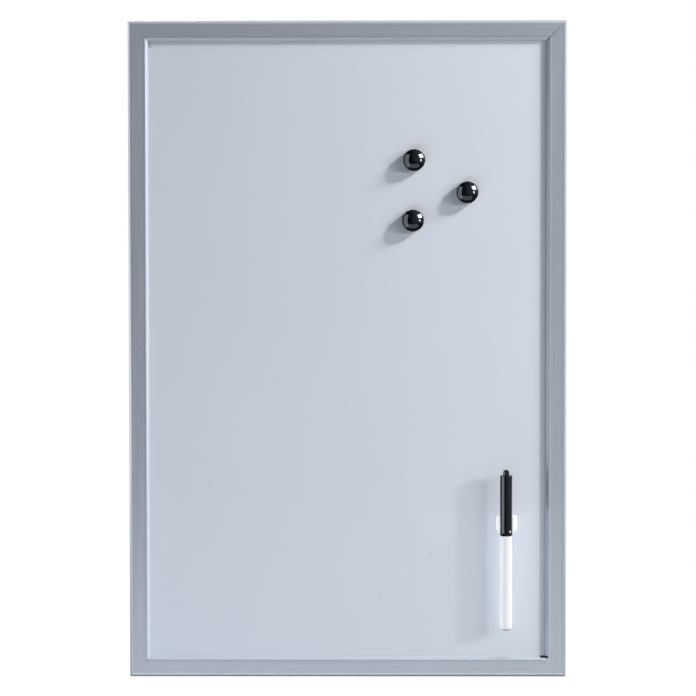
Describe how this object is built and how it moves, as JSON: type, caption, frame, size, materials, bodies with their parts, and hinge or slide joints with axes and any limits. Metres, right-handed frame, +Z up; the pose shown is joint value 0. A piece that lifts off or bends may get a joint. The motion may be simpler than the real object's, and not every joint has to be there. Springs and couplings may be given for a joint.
{
  "type": "magnetic whiteboard",
  "caption": "Portrait wall whiteboard: white magnetic steel panel in a mitred silver frame, with domed button magnets and a capped marker in a magnetic clip.",
  "frame": {"origin": "the board's centre on the wall plane, where the wall pads' rear faces lie", "axes": "+Z up the board in portrait, +Y into the wall, so the writing side faces -Y; +X to the right as seen from the front"},
  "size_m": [0.4, 0.033, 0.6],
  "materials": {
    "silver_foil": "MDF wrapped in silver foil with a fine lengthwise grain, satin",
    "white_lacquer": "cool white lacquer on steel, semi-gloss",
    "core_board": "raw board",
    "hardboard": "brown hardboard, smooth side out",
    "zinc_steel": "zinc-plated steel",
    "pad_foam": "black foam rubber",
    "gloss_black": "high-gloss black",
    "ferrite": "dark grey sintered ferrite",
    "flexible_magnet": "dark brown flexible magnet",
    "white_plastic": "white, semi-gloss",
    "satin_black": "black, satin",
    "plug_grey": "mid grey",
    "felt": "ink-soaked felt",
    "reservoir_fibre": "wrapped fibre rod"
  },
  "bodies": {
    "board": {"top_rail": "silver_foil", "bottom_rail": "silver_foil", "left_stile": "silver_foil", "right_stile": "silver_foil", "steel_sheet": "white_lacquer", "core_panel": "core_board", "back_panel": "hardboard", "corner_nail_1": "zinc_steel", "corner_nail_2": "zinc_steel", "corner_nail_3": "zinc_steel", "corner_nail_4": "zinc_steel", "panel_point_1": "zinc_steel", "panel_point_2": "zinc_steel", "panel_point_3": "zinc_steel", "panel_point_4": "zinc_steel", "panel_point_5": "zinc_steel", "panel_point_6": "zinc_steel", "panel_point_7": "zinc_steel", "panel_point_8": "zinc_steel", "panel_point_9": "zinc_steel", "panel_point_10": "zinc_steel", "panel_point_11": "zinc_steel", "panel_point_12": "zinc_steel", "hanger_1": "zinc_steel", "hanger_2": "zinc_steel", "hanger_3": "zinc_steel", "hanger_4": "zinc_steel", "hanger_nail_1": "zinc_steel", "hanger_nail_2": "zinc_steel", "hanger_nail_3": "zinc_steel", "hanger_nail_4": "zinc_steel", "hanger_nail_5": "zinc_steel", "hanger_nail_6": "zinc_steel", "hanger_nail_7": "zinc_steel", "hanger_nail_8": "zinc_steel", "wall_pad_1": "pad_foam", "wall_pad_2": "pad_foam", "wall_pad_3": "pad_foam", "wall_pad_4": "pad_foam"},
    "magnet_1": {"magnet_1_cap": "gloss_black", "magnet_1_disc": "ferrite"},
    "magnet_2": {"magnet_2_cap": "gloss_black", "magnet_2_disc": "ferrite"},
    "magnet_3": {"magnet_3_cap": "gloss_black", "magnet_3_disc": "ferrite"},
    "clip": {"pen_clip": "white_plastic", "clip_magnet": "flexible_magnet"},
    "cap": {"pen_cap": "satin_black"},
    "pen": {"pen_barrel": "white_plastic", "pen_end_plug": "plug_grey", "pen_section": "satin_black", "pen_nib": "felt", "pen_reservoir": "reservoir_fibre"}
  },
  "joints": [
    {"name": "magnet_1_pull", "type": "slide", "parent": "board", "child": "magnet_1", "axis": [0, -1, 0], "range_m": [0, 0.05]},
    {"name": "magnet_2_pull", "type": "slide", "parent": "board", "child": "magnet_2", "axis": [0, -1, 0], "range_m": [0, 0.05]},
    {"name": "magnet_3_pull", "type": "slide", "parent": "board", "child": "magnet_3", "axis": [0, -1, 0], "range_m": [0, 0.05]},
    {"name": "clip_pull", "type": "slide", "parent": "board", "child": "clip", "axis": [0, -1, 0], "range_m": [0, 0.05]},
    {"name": "cap_slide", "type": "slide", "parent": "clip", "child": "cap", "axis": [0, 0, 1], "range_m": [-0.057, 0.104]},
    {"name": "pen_draw", "type": "slide", "parent": "cap", "child": "pen", "axis": [0, 0, -1], "range_m": [0, 0.035]}
  ]
}
